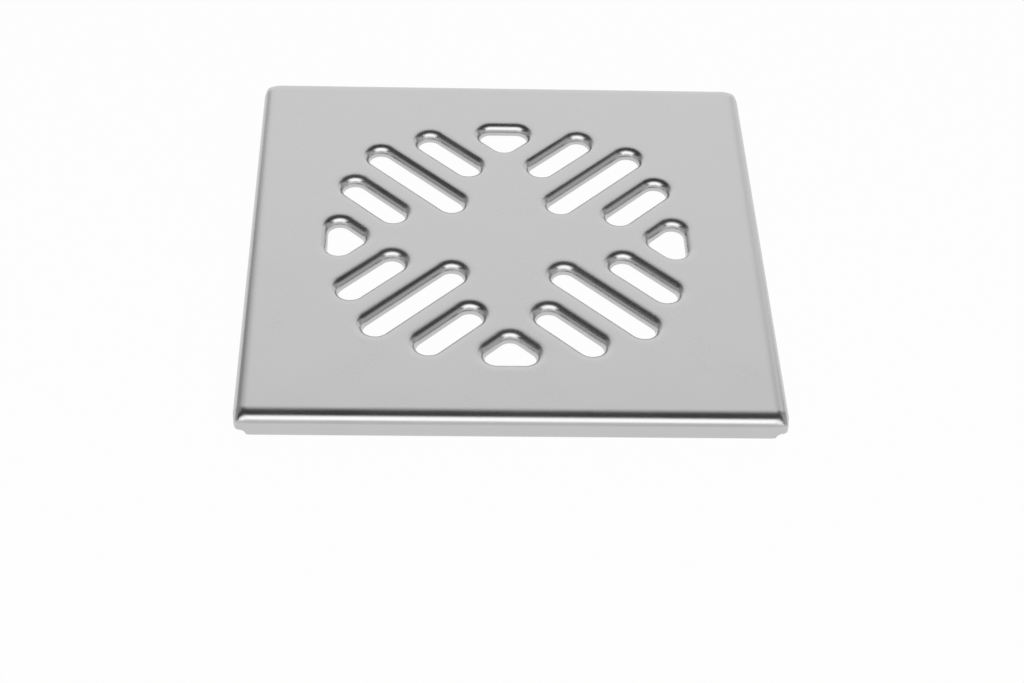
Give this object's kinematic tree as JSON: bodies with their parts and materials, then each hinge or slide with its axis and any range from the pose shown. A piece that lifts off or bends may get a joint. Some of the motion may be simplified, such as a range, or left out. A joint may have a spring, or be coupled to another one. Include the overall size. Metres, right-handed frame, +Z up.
{
  "type": "floor drain cover",
  "caption": "Square pressed stainless drain cover with a turned-down skirt, rounded corners, and rolled-rim slots and rounded triangles that let water through.",
  "frame": {"origin": "centre of the cover, on the plane of the skirt's lower edge", "axes": "+Z up through the flat top; X and Y square to the cover's sides"},
  "size_m": [0.15, 0.15, 0.0063],
  "materials": {
    "stainless_sheet": "satin rolled stainless sheet"
  },
  "bodies": {
    "root": {"drain_cover": "stainless_sheet"}
  },
  "joints": []
}
